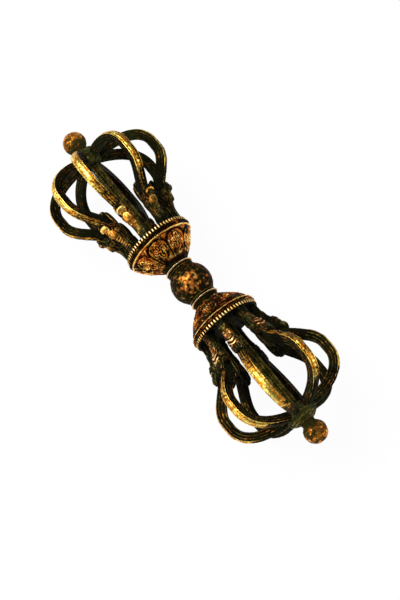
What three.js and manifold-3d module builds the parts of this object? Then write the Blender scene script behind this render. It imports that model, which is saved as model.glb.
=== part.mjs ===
// Nine-pronged vajra (dorje), a hand-held ritual sceptre of cast and chased brass.
// It lies on a table on the lowest prongs of its two cages: the long axis runs along +X,
// Z is up, and the origin is on the table under the grip ball. Sizes are in millimetres.
import * as THREE from 'three';
import { mergeVertices } from 'three/addons/utils/BufferGeometryUtils.js';
import Module from 'manifold-3d';

const wasm = await Module();
wasm.setup();

// Clearance between two pieces that are seated together
const seat = 0.3;

// Grip ball and the collar rings beside it
const ballRadius = 8.0;
const collarRadius = 5.9;
const collarBaseRadius = 5.2;
const collarLength = 3.2;
const collarCrestWidth = 1.3;
const collarCrestFlat = 0.4;
const collarCrestInset = 1.35;
const collarLineHeight = 0.25;

// Round tang of the middle prong, which passes through collar and lotus into the ball
const tangRadius = 1.6;
const tangLap = 0.5;

// Lotus cup with one petal for each curved prong
const cupLength = 10.3;
const cupFootRadius = 5.0;
const cupMouthRadius = 14.0;
const cupBelly = 0.75;
const petalTip = 8.5;
const petalShoulder = 5.9;
const petalLift = 0.75;
const petalBulge = 0.45;
const filletStation = 8.9;
const filletHeight = 0.25;
const cupEdge = 0.18;

// Beaded rim on the spigot of the cup
const spigotRadius = 11.2;
const rimRadius = 13.6;
const rimLength = 1.6;
const beadCount = 64;
const beadDepth = 0.55;

// Middle prong, a square bar
const barWidth = 2.8;
const barTenonRadius = 1.2;

// Eight curved prongs stand round the middle one in each cage. They were set by hand, so
// the turns from straight up, in degrees, are a little uneven; the lowest pairs carry the part.
const prongTurns = {
  a: [24, 61.5, 104.5, 157.5, 202.5, 241.5, 290.5, 337.5],
  b: [22.5, 60, 104.5, 157.5, 202.5, 238.5, 284.5, 334.5],
};
const cageRadius = 24.9;
const prongWidth = 3.4;
const crownBand = 1.0;
const crownFall = 22.5;
const rootThickness = 4.4;
const crestThickness = 4.1;
const tipThickness = 4.0;
const tipWidth = 2.0;
const innerWidth = 2.1;
const sideLine = 0.22;
const sideBand = 0.55;
const crestStation = 28.5;
const crestRun = 3.0;
const rootAngle = 45;
const rootStraight = 4.4;
const rootSwell = 3.6;
const crestEase = 5.0;
const shoulderReach = 8.2;
const footDrop = 13.5;
const cageLength = 43.4;

// Makara head, from whose jaws a curved prong grows: stations run from the foot of the head
const headFootInner = 8.0;
const headFootOuter = 12.7;
const headFootWidth = 3.8;
const neckStation = 6.2;
const neckInner = 9.4;
const neckOuter = 13.6;
const neckWidth = 3.1;
const browStation = 8.9;
const browHeight = 14.9;
const browBossLength = 4.6;
const browBossWidth = 3.9;
const browBossRise = 1.3;
const cheekWidth = 4.4;
const snoutStation = 12.2;
const snoutLength = 2.7;
const snoutWidth = 4.3;
const snoutRise = 1.2;
const lipStation = 14.0;
const lipThickness = 0.95;
const lipWidth = 3.6;
const jawStation = 16.4;
const jawRadius = 9.7;
const jawWidth = 3.0;
const chinStation = 18.8;
const chinInner = 11.8;
const chinOuter = 13.5;
const chinWidth = 1.8;
const upperScallops = 3;
const lowerScallops = 2;
const scallopDepth = 0.45;
const headEdge = 0.8;
const mouthStation = 12.5;
const mouthRadius = 14.8;

// Hub that gathers the prong tips, and the ball finial on it
const hubCoreRadius = 3.3;
const hubCoreLength = 4.7;
const flangeRadius = 6.2;
const flangeEdge = 0.4;
const fluteDepth = 0.6;
const shoulderLength = 1.5;
const neckRadius = 2.8;
const neckLength = 0.5;
const finialRadius = 4.6;
const finialFoot = 0.6;

// Stations along the axis, measured from the middle of the grip ball
const collarStart = Math.sqrt((ballRadius + seat) ** 2 - collarRadius ** 2);
const collarEnd = collarStart + collarLength;
const cupStart = collarEnd + seat;
const cupEnd = cupStart + cupLength;
const rimStart = cupEnd + seat;
const mouthFace = rimStart + rimLength;
const headStart = mouthFace + seat;
const flangeStart = headStart + cageLength;
const hubStart = flangeStart - hubCoreLength;
const hubEnd = flangeStart + flangeEdge + shoulderLength + neckLength;
const finialStart = hubEnd + seat;
const boreRadius = tangRadius + seat;

// The upper lip follows the sloping root of its prong, and the snout is level with the lip
const lean = THREE.MathUtils.degToRad(rootAngle);
const lipOffset = lipStation - mouthStation + seat * Math.sin(lean);
const lipRadius = mouthRadius + seat * Math.cos(lean) + lipOffset * Math.tan(lean);

// The part lies on the two lowest prongs of each cage, on the sloping side of their crowns
const prongCount = prongTurns.a.length;
const fall = THREE.MathUtils.degToRad(crownFall);
const axisHeight = cageRadius * Math.cos(fall) + (crownBand / 2) * Math.sin(fall);

const brass = (color, roughness, metalness = 0.9) =>
  new THREE.MeshStandardMaterial({ color, roughness, metalness });
const finish = {
  grip: brass(0x7a6433, 0.5),
  collar: brass(0x8a6f35, 0.45),
  lotus: brass(0xa8662a, 0.5),
  rim: brass(0xb98a3e, 0.42),
  bar: brass(0x3f3a22, 0.6),
  head: brass(0x3a3820, 0.6),
  prong: brass(0x8d7434, 0.45),
  hub: brass(0x4a4526, 0.58),
  finial: brass(0x9a6a32, 0.42),
};

// Merges shared vertices, drops collapsed faces and turns the skin to face outwards
function closedSkin(geometry) {
  const bare = geometry.clone();
  for (const name of Object.keys(bare.attributes)) {
    if (name !== 'position') bare.deleteAttribute(name);
  }
  const merged = mergeVertices(bare, 1e-4);
  const place = merged.attributes.position;
  const corner = (i) => new THREE.Vector3().fromBufferAttribute(place, i);
  const faces = [];
  let volume = 0;
  for (let i = 0; i < merged.index.count; i += 3) {
    const [a, b, c] = [0, 1, 2].map((k) => merged.index.getX(i + k));
    if (a === b || b === c || c === a) continue;
    faces.push([a, b, c]);
    volume += corner(a).dot(corner(b).cross(corner(c)));
  }
  merged.setIndex(faces.flatMap(([a, b, c]) => (volume < 0 ? [a, c, b] : [a, b, c])));
  return merged;
}

function toSolid(geometry) {
  const skin = closedSkin(geometry);
  const vertProperties = new Float32Array(skin.attributes.position.array);
  const triVerts = new Uint32Array(skin.index.array);
  return new wasm.Manifold(new wasm.Mesh({ numProp: 3, vertProperties, triVerts }));
}

function fromSolid(solid) {
  const { vertProperties, triVerts } = solid.getMesh();
  const geometry = new THREE.BufferGeometry();
  geometry.setAttribute('position', new THREE.BufferAttribute(vertProperties, 3));
  geometry.setIndex(new THREE.BufferAttribute(triVerts, 1));
  return geometry;
}

function joined(...geometries) {
  return fromSolid(geometries.map(toSolid).reduce((sum, next) => sum.add(next)));
}

// Lathe about the long axis: each profile point is [station along X, radius]
function turned(profile, segments) {
  const points = profile.map(([station, radius]) => new THREE.Vector2(radius, station));
  return closedSkin(new THREE.LatheGeometry(points, segments).rotateZ(-Math.PI / 2));
}

// A run of equal rings of points, joined to a skin that closes on its first ring
function ringLoop(rings) {
  const around = rings[0].length;
  const index = [];
  rings.forEach((ring, i) => {
    const here = i * around;
    const next = ((i + 1) % rings.length) * around;
    for (let j = 0; j < around; j++) {
      const k = (j + 1) % around;
      index.push(here + j, here + k, next + k, here + j, next + k, next + j);
    }
  });
  return skinOf(rings.flat(), index);
}

// A run of equal sections of points, capped at both ends by the flat outline they share
function sectionLoft(sections, outline) {
  const around = outline.length;
  const index = [];
  for (let i = 0; i + 1 < sections.length; i++) {
    for (let j = 0; j < around; j++) {
      const k = (j + 1) % around;
      const here = i * around;
      const next = here + around;
      index.push(here + j, here + k, next + k, here + j, next + k, next + j);
    }
  }
  const last = (sections.length - 1) * around;
  for (const [a, b, c] of THREE.ShapeUtils.triangulateShape(outline, [])) {
    index.push(a, b, c, last + c, last + b, last + a);
  }
  return skinOf(sections.flat(), index);
}

function skinOf(points, index) {
  const geometry = new THREE.BufferGeometry().setFromPoints(points);
  geometry.setIndex(index);
  return closedSkin(geometry);
}

function around(station, radius, angle) {
  return new THREE.Vector3(station, radius * Math.sin(angle), radius * Math.cos(angle));
}

// Grip ball, bored through for the two tangs
function gripBall() {
  const steps = 10;
  const bore = Math.asin(boreRadius / ballRadius);
  const profile = [];
  for (let i = 0; i <= steps; i++) {
    const turn = Math.PI - bore - (i / steps) * (Math.PI - 2 * bore);
    profile.push([ballRadius * Math.cos(turn), ballRadius * Math.sin(turn)]);
  }
  return turned([...profile, profile[0]], 20);
}

// Collar ring with a sharp crest and a fine line beside it; its inner face is dished to the ball
function collarRing() {
  const dish = (radius) => Math.sqrt((ballRadius + seat) ** 2 - radius ** 2);
  const crestMiddle = collarEnd - collarCrestInset;
  const lineRadius = (collarRadius + collarBaseRadius) / 2;
  const inner = [boreRadius, (boreRadius + lineRadius) / 2, lineRadius].map((r) => [dish(r), r]);
  return turned([
    ...inner,
    [crestMiddle - collarCrestWidth, lineRadius + collarLineHeight],
    [crestMiddle - collarCrestWidth / 2, lineRadius],
    [crestMiddle - collarCrestFlat / 2, collarRadius],
    [crestMiddle + collarCrestFlat / 2, collarRadius],
    [crestMiddle + collarCrestWidth / 2, collarBaseRadius],
    [collarEnd, collarBaseRadius],
    [collarEnd, boreRadius],
    inner[0],
  ], 16);
}

// Lotus cup: pillowed petals with round tips, a fine line, a lip and the spigot of the rim
function lotusCup() {
  const samples = 4;
  const total = samples * prongCount;
  const wall = (station) => {
    const share = station / cupLength;
    const bow = 4 * cupBelly * share * (1 - share);
    return cupFootRadius + (cupMouthRadius - cupFootRadius) * share + bow;
  };
  const ring = (place) => Array.from({ length: total }, (_, k) => {
    const across = ((k % samples) / samples) * 2 - 1;
    const [station, radius] = place(across);
    return around(cupStart + station, radius, (k / total) * 2 * Math.PI);
  });
  const tip = (across) => petalShoulder + (petalTip - petalShoulder) * Math.sqrt(1 - across ** 2);
  const petal = (share) => ring((across) => {
    const station = share * tip(across);
    return [station, wall(station) + petalLift * (1 - across ** 2) * Math.sqrt(share)];
  });
  const plain = (station, radius) => ring(() => [station, radius]);
  const spigotEnd = mouthFace - cupStart;
  return ringLoop([
    plain(0, cupFootRadius),
    petal(petalBulge),
    petal(1),
    ring((across) => [tip(across) + cupEdge, wall(tip(across) + cupEdge)]),
    plain(filletStation, wall(filletStation) + filletHeight),
    plain(filletStation + cupEdge, wall(filletStation)),
    plain(cupLength - cupEdge, cupMouthRadius),
    plain(cupLength, cupMouthRadius - cupEdge),
    plain(cupLength, spigotRadius),
    plain(spigotEnd, spigotRadius),
    plain(spigotEnd, boreRadius),
    plain(0, boreRadius),
  ]);
}

// Ring of beads that sits on the spigot, against the shoulder of the cup
function beadedRim() {
  const total = 2 * beadCount;
  const ring = (station, crest, valley) => Array.from({ length: total }, (_, k) =>
    around(station, k % 2 ? valley : crest, (k / total) * 2 * Math.PI));
  const bore = spigotRadius + seat;
  const low = rimRadius - beadDepth;
  return ringLoop([
    ring(rimStart, bore, bore),
    ring(rimStart, low, low),
    ring(rimStart + rimLength / 2, rimRadius, low),
    ring(rimStart + rimLength, low, low),
    ring(rimStart + rimLength, bore, bore),
  ]);
}

// Middle prong: a square bar with a round tang behind it and a round tenon at the hub
function middleProng() {
  const barStart = headStart;
  const barEnd = hubStart - seat;
  const bar = new THREE.BoxGeometry(barEnd - barStart, barWidth, barWidth);
  bar.translate((barStart + barEnd) / 2, 0, 0);
  const tang = turned([
    [seat / 2, 0],
    [seat / 2, tangRadius],
    [barStart + tangLap, tangRadius],
    [barStart + tangLap, 0],
  ], 16);
  const tenon = turned([
    [barEnd - tangLap, 0],
    [barEnd - tangLap, barTenonRadius],
    [flangeStart, barTenonRadius],
    [flangeStart, 0],
  ], 12);
  return joined(tang, bar, tenon);
}

// Outer edge of a curved prong in its own plane, as [station from the cage's start, radius]
function crownCurve() {
  const along = new THREE.Vector2(Math.cos(lean), Math.sin(lean));
  const root = new THREE.Vector2(mouthStation, mouthRadius);
  const knee = root.clone().addScaledVector(along, rootStraight);
  const rise = new THREE.Vector2(crestStation - crestRun / 2, cageRadius);
  const drop = new THREE.Vector2(crestStation + crestRun / 2, cageRadius);
  const foot = new THREE.Vector2(cageLength - seat, hubCoreRadius + seat);
  const curve = new THREE.CurvePath();
  curve.add(new THREE.LineCurve(root, knee));
  curve.add(new THREE.CubicBezierCurve(
    knee,
    knee.clone().addScaledVector(along, rootSwell),
    new THREE.Vector2(rise.x - crestEase, rise.y),
    rise,
  ));
  curve.add(new THREE.LineCurve(rise, drop));
  curve.add(new THREE.CubicBezierCurve(
    drop,
    new THREE.Vector2(drop.x + shoulderReach, drop.y),
    new THREE.Vector2(foot.x, foot.y + footDrop),
    foot,
  ));
  return curve;
}

// Curved prong: a crowned section with a fine line on each side, carried down to the hub
function curvedProng() {
  const [root, rise, crest, descent] = crownCurve().curves;
  const stops = [[root, 1], [rise, 4], [crest, 1], [descent, 5]];
  const steps = stops.reduce((sum, [, count]) => sum + count, 0);
  const crestStep = stops[0][1] + stops[1][1];
  const outline = sectionOutline(prongWidth, crestThickness);
  const sections = [];
  stops.forEach(([piece, count], order) => {
    for (let i = order ? 1 : 0; i <= count; i++) {
      const point = piece.getPoint(i / count);
      const step = sections.length;
      const tangent = step === steps ? new THREE.Vector2(0, -1) : piece.getTangent(i / count);
      const fromRoot = Math.min(step / crestStep, 1);
      const toTip = Math.max((step - crestStep - 1) / (steps - crestStep - 1), 0);
      const thickness = rootThickness + (crestThickness - rootThickness) * fromRoot
        + (tipThickness - crestThickness) * toTip;
      const width = prongWidth + (tipWidth - prongWidth) * toTip ** 4;
      sections.push(sectionOutline(width, thickness).map(({ x: side, y: height }) =>
        new THREE.Vector3(
          headStart + point.x - height * tangent.y,
          side,
          point.y + height * tangent.x,
        )));
    }
  });
  return sectionLoft(sections, outline);
}

// Section of a prong: a flat band between two sloping faces, a step on each side, a thin inner edge
function sectionOutline(width, thickness) {
  const half = width / 2;
  const band = (crownBand / 2) * (width / prongWidth);
  const shoulder = -(half - band) * Math.tan(fall);
  const line = shoulder - sideBand;
  const right = [
    [band, 0],
    [half, shoulder],
    [half, line],
    [half - sideLine, line - sideLine],
    [(innerWidth / 2) * (width / prongWidth), -thickness],
  ];
  const left = right.map(([side, height]) => [-side, height]).reverse();
  return [...right, ...left].map(([side, height]) => new THREE.Vector2(side, height));
}

// Edge that passes smoothly from one [station, value] knot to the next
function edgeThrough(...knots) {
  return (station) => {
    const after = knots.findIndex(([place]) => place >= station);
    const [to, high] = knots[Math.max(after, 1)];
    const [from, low] = knots[Math.max(after, 1) - 1];
    return THREE.MathUtils.lerp(low, high, THREE.MathUtils.smoothstep(station, from, to));
  };
}

// Head before its mouth is cut: a narrow neck, a rising brow, cheeks, and a lower edge whose
// scallops run on under the lower jaw to the chin
function headLoft() {
  const upperRun = Array.from({ length: 2 * upperScallops + 1 }, (_, k) =>
    THREE.MathUtils.lerp(neckStation, lipStation, k / (2 * upperScallops)));
  const lowerRun = Array.from({ length: 2 * lowerScallops }, (_, k) =>
    THREE.MathUtils.lerp(lipStation, chinStation, (k + 1) / (2 * lowerScallops)));
  const [behindLip] = lowerRun;
  const outer = edgeThrough([0, headFootOuter], [neckStation, neckOuter], [browStation, browHeight],
    [lipStation, lipRadius + lipThickness], [behindLip, chinOuter], [chinStation, chinOuter]);
  const inner = edgeThrough([0, headFootInner], [neckStation, neckInner], [jawStation, jawRadius],
    [chinStation, chinInner]);
  const width = edgeThrough([0, headFootWidth], [neckStation, neckWidth], [browStation, cheekWidth],
    [lipStation, lipWidth], [jawStation, jawWidth], [chinStation, chinWidth]);
  const section = (station, order) => {
    const half = width(station) / 2;
    const edge = headEdge * (width(station) / cheekWidth);
    const top = outer(station);
    const low = inner(station) + (order % 2 ? 0 : scallopDepth);
    const right = [[half - edge, top], [half, top - edge], [half - edge / 2, low]];
    const left = right.map(([side, radius]) => [-side, radius]).reverse();
    return [...right, ...left].map(([side, radius]) =>
      new THREE.Vector3(headStart + station, side, radius));
  };
  const sections = [0, ...upperRun, ...lowerRun].map(section);
  return sectionLoft(sections, sections[0].map(({ y: side, z: radius }) =>
    new THREE.Vector2(side, radius)));
}

// Cast boss: an ellipsoid with its length along the head, its width across it and its rise
function boss(station, radius, length, width, rise) {
  const ball = new THREE.SphereGeometry(1, 6, 4).rotateX(Math.PI / 2);
  return ball.scale(length / 2, width / 2, rise).translate(headStart + station, 0, radius);
}

// Makara head: the loft with a boss on its brow and a rolled snout, and a mouth that clears
// the root of the prong
function makaraHead() {
  const reach = 2 * chinStation;
  const mouth = new THREE.BoxGeometry(reach, 2 * cheekWidth, rootThickness + 2 * seat)
    .translate(reach / 2 - seat, 0, -rootThickness / 2)
    .rotateY(-lean)
    .translate(headStart + mouthStation, 0, mouthRadius);
  const head = joined(
    headLoft(),
    boss(browStation, browHeight, browBossLength, browBossWidth, browBossRise),
    boss(snoutStation, lipRadius, snoutLength, snoutWidth, snoutRise),
  );
  return fromSolid(toSolid(head).subtract(toSolid(mouth)));
}

// Hub: a core inside the prong tips, and a round shoulder over them, fluted between each pair,
// that narrows to the neck
function tipHub() {
  const bore = barTenonRadius + seat;
  const ring = (station, radius, flute) => Array.from({ length: 2 * prongCount }, (_, k) =>
    around(station, radius - (k % 2 ? flute : 0), ((k + 1) / prongCount) * Math.PI));
  const shoulder = [0, 0.7].map((share) => {
    const swell = Math.sqrt(1 - share ** 2);
    return ring(flangeStart + flangeEdge + share * shoulderLength,
      neckRadius + (flangeRadius - neckRadius) * swell, fluteDepth * swell);
  });
  return ringLoop([
    ring(hubStart, bore, 0),
    ring(hubStart, hubCoreRadius, 0),
    ring(flangeStart, hubCoreRadius, 0),
    ring(flangeStart, flangeRadius, fluteDepth),
    ...shoulder,
    ring(flangeStart + flangeEdge + shoulderLength, neckRadius, 0),
    ring(hubEnd, neckRadius, 0),
    ring(hubEnd, bore, 0),
  ]);
}

// Ball finial: a short cone that swells to a ball, on a tenon in the hub's bore
function ballFinial() {
  const centre = finialStart + finialFoot + Math.sqrt(finialRadius ** 2 - neckRadius ** 2);
  const steps = 8;
  const first = Math.asin(neckRadius / finialRadius);
  const profile = [];
  for (let i = 0; i <= steps; i++) {
    const turn = Math.PI - first - (i / steps) * (Math.PI - first);
    const radius = i === steps ? 0 : finialRadius * Math.sin(turn);
    profile.push([centre + finialRadius * Math.cos(turn), radius]);
  }
  return turned([
    [flangeStart + seat, 0],
    [flangeStart + seat, barTenonRadius],
    [finialStart, barTenonRadius],
    [finialStart, neckRadius],
    ...profile,
  ], 14);
}

function piece(name, geometry, material) {
  const mesh = new THREE.Mesh(geometry, material);
  mesh.name = name;
  return mesh;
}

// The shapes are made once; every copy of a piece is a mesh of its own
const shapes = {
  collar: collarRing(),
  cup: lotusCup(),
  rim: beadedRim(),
  bar: middleProng(),
  head: makaraHead(),
  prong: curvedProng(),
  hub: tipHub(),
  finial: ballFinial(),
};

// One cage, from the collar to the finial, built along +X; `hand` keeps the prongs of the
// two cages in line when one of them is turned round
function cage(side, hand) {
  const group = new THREE.Group();
  group.add(
    piece(`collar_ring_${side}`, shapes.collar, finish.collar),
    piece(`lotus_cup_${side}`, shapes.cup, finish.lotus),
    piece(`beaded_rim_${side}`, shapes.rim, finish.rim),
    piece(`middle_prong_${side}`, shapes.bar, finish.bar),
    piece(`tip_hub_${side}`, shapes.hub, finish.hub),
    piece(`ball_finial_${side}`, shapes.finial, finish.finial),
  );
  prongTurns[side].forEach((turn, i) => {
    const spoke = new THREE.Group();
    spoke.add(
      piece(`makara_head_${side}${i + 1}`, shapes.head, finish.head),
      piece(`curved_prong_${side}${i + 1}`, shapes.prong, finish.prong),
    );
    spoke.rotation.x = hand * THREE.MathUtils.degToRad(turn);
    group.add(spoke);
  });
  return group;
}

const vajra = new THREE.Group();
const axis = new THREE.Group();
axis.position.z = axisHeight;
const far = cage('a', -1);
far.rotation.z = Math.PI;
axis.add(piece('grip_ball', gripBall(), finish.grip), far, cage('b', 1));
vajra.add(axis);

export default vajra;
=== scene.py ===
import math

import bpy
import numpy as np
from mathutils import Matrix, Vector


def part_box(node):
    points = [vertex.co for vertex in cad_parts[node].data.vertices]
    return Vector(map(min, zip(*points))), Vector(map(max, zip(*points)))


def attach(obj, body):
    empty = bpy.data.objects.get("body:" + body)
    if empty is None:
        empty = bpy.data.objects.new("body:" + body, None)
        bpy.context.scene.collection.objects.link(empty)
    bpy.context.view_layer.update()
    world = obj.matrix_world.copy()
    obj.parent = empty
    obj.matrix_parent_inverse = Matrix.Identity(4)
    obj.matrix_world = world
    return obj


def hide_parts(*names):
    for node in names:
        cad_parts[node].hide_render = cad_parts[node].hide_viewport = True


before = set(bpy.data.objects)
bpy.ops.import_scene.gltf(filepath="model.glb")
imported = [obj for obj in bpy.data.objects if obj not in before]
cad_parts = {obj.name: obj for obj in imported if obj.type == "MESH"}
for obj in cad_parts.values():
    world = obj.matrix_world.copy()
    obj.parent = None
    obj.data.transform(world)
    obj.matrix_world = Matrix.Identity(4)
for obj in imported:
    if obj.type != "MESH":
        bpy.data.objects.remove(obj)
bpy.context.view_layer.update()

# The camera stands above the near side of the sceptre and looks steeply down on it.
# A long lens keeps the two cages at nearly one scale, and a small shift frames the object.
azimuth, elevation, roll = math.radians(52.10), math.radians(66.10), math.radians(0.46)
camera_distance = 0.8335
pixels_per_metre = 2739.6
image_width, image_height = 400, 600
ball_pixel = Vector((191.75, 283.58))


def put(name, data):
    """New object in the scene, with its data, at the origin."""
    item = bpy.data.objects.new(name, data)
    bpy.context.scene.collection.objects.link(item)
    return item


ball_bottom, ball_top = (corner[2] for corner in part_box("grip_ball"))
axis_height = (ball_bottom + ball_top) / 2
back = Vector((math.sin(azimuth) * math.cos(elevation),
               -math.cos(azimuth) * math.cos(elevation),
               math.sin(elevation)))
level = Vector((math.cos(azimuth), math.sin(azimuth), 0))
upright = back.cross(level)
right = level * math.cos(roll) + upright * math.sin(roll)
up = upright * math.cos(roll) - level * math.sin(roll)
camera = put("camera", bpy.data.cameras.new("camera"))
camera.matrix_world = (Matrix.Translation(Vector((0, 0, axis_height)) + back * camera_distance)
                       @ Matrix((right, up, back)).transposed().to_4x4())
camera.data.lens = camera.data.sensor_width * pixels_per_metre * camera_distance / image_height
camera.data.shift_x = (image_width / 2 - ball_pixel.x) / image_height
camera.data.shift_y = (ball_pixel.y - image_height / 2) / image_height
camera.data.clip_start, camera.data.clip_end = 0.05, 20
bpy.context.scene.camera = camera
bpy.context.scene.view_settings.view_transform = "Standard"


# The stage is a white table top under a white surround. The camera sees both as white; the metal
# sees the table as light grey and the surround as dark, and the table keeps a faint shadow.
table_half_width, table_drop = 3.0, 0.0001
table_white = (0.95, 0.95, 0.95, 1)
shadow_share, glossy_white, surround_light = 0.045, 0.36, 0.075


def math_node(tree, operation, *values):
    """Output of a math node in a node tree; each value is a socket or a plain number."""
    node = tree.nodes.new("ShaderNodeMath")
    node.operation = operation
    for socket, value in zip(node.inputs, values):
        if isinstance(value, (int, float)):
            socket.default_value = value
        else:
            tree.links.new(value, socket)
    return node.outputs[0]


table_mesh = bpy.data.meshes.new("table_top")
half, low = table_half_width, -table_drop
table_mesh.from_pydata([(-half, -half, low), (half, -half, low), (half, half, low),
                        (-half, half, low)], [], [(0, 1, 2, 3)])
table_top = put("table_top", table_mesh)
table_paint = bpy.data.materials.new("table_white")
table_paint.use_nodes = True
tree = table_paint.node_tree
tree.nodes.clear()
seen = tree.nodes.new("ShaderNodeLightPath").outputs
matt = tree.nodes.new("ShaderNodeBsdfDiffuse")
matt.inputs["Color"].default_value = table_white
glow = tree.nodes.new("ShaderNodeEmission")
glow.inputs["Color"].default_value = (1, 1, 1, 1)
blend = tree.nodes.new("ShaderNodeMixShader")
table_out = tree.nodes.new("ShaderNodeOutputMaterial")
for_metal = math_node(tree, "MULTIPLY", seen["Is Glossy Ray"], glossy_white)
for_all = math_node(tree, "MULTIPLY_ADD", seen["Is Camera Ray"], 1 - shadow_share, for_metal)
tree.links.new(for_all, blend.inputs["Fac"])
tree.links.new(matt.outputs[0], blend.inputs[1])
tree.links.new(glow.outputs[0], blend.inputs[2])
tree.links.new(blend.outputs[0], table_out.inputs["Surface"])
table_mesh.materials.append(table_paint)

world = bpy.data.worlds.new("white_surround")
bpy.context.scene.world = world
world.use_nodes = True
tree = world.node_tree
tree.nodes.clear()
seen = tree.nodes.new("ShaderNodeLightPath").outputs
sky = tree.nodes.new("ShaderNodeBackground")
sky.inputs["Color"].default_value = (1, 1, 1, 1)
world_out = tree.nodes.new("ShaderNodeOutputWorld")
tree.links.new(math_node(tree, "MULTIPLY_ADD", seen["Is Camera Ray"], 1 - surround_light,
                         surround_light), sky.inputs["Strength"])
tree.links.new(sky.outputs[0], world_out.inputs["Surface"])


def lamp(name, place, size, watts):
    """Square soft lamp at a place in metres, aimed at the grip ball."""
    light = bpy.data.lights.new(name, "AREA")
    light.shape, light.size, light.energy = "SQUARE", size, watts
    holder = put(name, light)
    holder.location = place
    aim = Vector((0, 0, axis_height)) - Vector(place)
    holder.rotation_euler = aim.to_track_quat("-Z", "Y").to_euler()


lamp("window_lamp", (-0.30, -0.30, 0.64), 0.56, 7.6)
lamp("far_lamp", (0.34, 0.56, 0.42), 0.40, 2.3)
lamp("side_lamp", (0.16, -0.66, 0.24), 0.26, 1.2)


# The grip ball is the seat of the hand: a solid brass ball between the two lotus cups.
# It is cast, lightly pitted and dark with age, and worn to orange gold where it is held. That
# patch faces the camera and the window lamp, so it is partly wear and partly a painted highlight.
mm = 0.001
ball_radius, ball_stem = (ball_top - ball_bottom) / 2 / mm, 1.9
ball_rows, ball_columns = 150, 200
pit_depth, pit_size, pit_wear = 0.10, 1.4, 3.0
dent_depth, dent_size = 0.10, 3.4
worn_and_lit_spot, spot_edge, spot_core = np.array([0.10, -0.30, 0.95]), 0.78, 0.98
ball_dull, ball_held_and_lit, ball_mottle, mottle_size = 0.05, 0.44, 0.18, 2.2


def ripple(points, size, seed, waves=14, gain=2.6):
    """Smooth random field of about -1 to 1: the mean of sine waves of about one length and of
    random headings, times a gain."""
    draw = np.random.default_rng(seed)
    heading = draw.normal(size=(3, waves))
    heading /= np.linalg.norm(heading, axis=0)
    length = size * draw.uniform(0.7, 1.5, waves)
    start = draw.uniform(0, 2 * np.pi, waves)
    return gain * np.sin(points @ (heading * 2 * np.pi / length) + start).mean(axis=-1)


def bump(x, middle, width):
    """Bell curve of height 1 at the middle, which falls to 1/e at the width."""
    return np.exp(-((x - middle) / width) ** 2)


def smooth_step(x, low, high):
    """0 below low, 1 above high, and a smooth cubic between."""
    share = np.clip((x - low) / (high - low), 0, 1)
    return share * share * (3 - 2 * share)


def skin(points, wear):
    """Closed skin over a grid of rows and columns: columns join round, and each end row gets a
    fan to its middle. Returns vertices, wear, quads and triangles, with the faces outwards."""
    rows, columns = points.shape[:2]
    flat = points.reshape(-1, 3)
    vertices = np.vstack([flat, points[0].mean(axis=0), points[-1].mean(axis=0)])
    shade = np.concatenate([np.broadcast_to(wear, (rows, columns)).reshape(-1),
                            [np.mean(wear), np.mean(wear)]])
    index = np.arange(rows * columns).reshape(rows, columns)
    beside = np.roll(index, -1, axis=1)
    quads = np.stack([index[:-1], beside[:-1], beside[1:], index[1:]], axis=-1).reshape(-1, 4)
    first, last = rows * columns, rows * columns + 1
    fans = np.vstack([
        np.stack([np.full(columns, first), beside[0], index[0]], axis=-1),
        np.stack([np.full(columns, last), index[-1], beside[-1]], axis=-1),
    ])
    halves = np.vstack([quads[:, [0, 1, 2]], quads[:, [0, 2, 3]], fans])
    a, b, c = (vertices[halves[:, k]] for k in range(3))
    volume = np.einsum("ij,ij->", a, np.cross(b, c))
    if volume < 0:
        quads, fans = quads[:, ::-1], fans[:, ::-1]
    return vertices, shade, quads, fans


def lay(name, skins, material, node):
    """Makes one piece from closed skins given in millimetres, with their wear as an attribute, on
    the root body and in place of a CAD node."""
    start, quads, fans = 0, [], []
    for vertices, _, four, three in skins:
        quads.append(four + start)
        fans.append(three + start)
        start += len(vertices)
    vertices = np.vstack([part[0] for part in skins]) * mm
    shade = np.concatenate([part[1] for part in skins])
    quads, fans = np.vstack(quads), np.vstack(fans)
    corners = np.concatenate([quads.reshape(-1), fans.reshape(-1)]).astype(np.int32)
    starts = np.concatenate([np.arange(len(quads)) * 4,
                             len(quads) * 4 + np.arange(len(fans)) * 3]).astype(np.int32)
    mesh = bpy.data.meshes.new(name)
    mesh.vertices.add(len(vertices))
    mesh.vertices.foreach_set("co", vertices.astype(np.float32).reshape(-1))
    mesh.loops.add(len(corners))
    mesh.loops.foreach_set("vertex_index", corners)
    mesh.polygons.add(len(starts))
    mesh.polygons.foreach_set("loop_start", starts)
    mesh.polygons.foreach_set("use_smooth", np.ones(len(starts), dtype=bool))
    mesh.update(calc_edges=True)
    # This wear attribute also holds painted light on the ball, the prongs and the heads.
    worn = mesh.attributes.new("wear", "FLOAT", "POINT")
    worn.data.foreach_set("value", np.clip(shade, 0, 1).astype(np.float32))
    mesh.materials.append(material)
    piece = put(name, mesh)
    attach(piece, "root")
    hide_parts(node)


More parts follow.
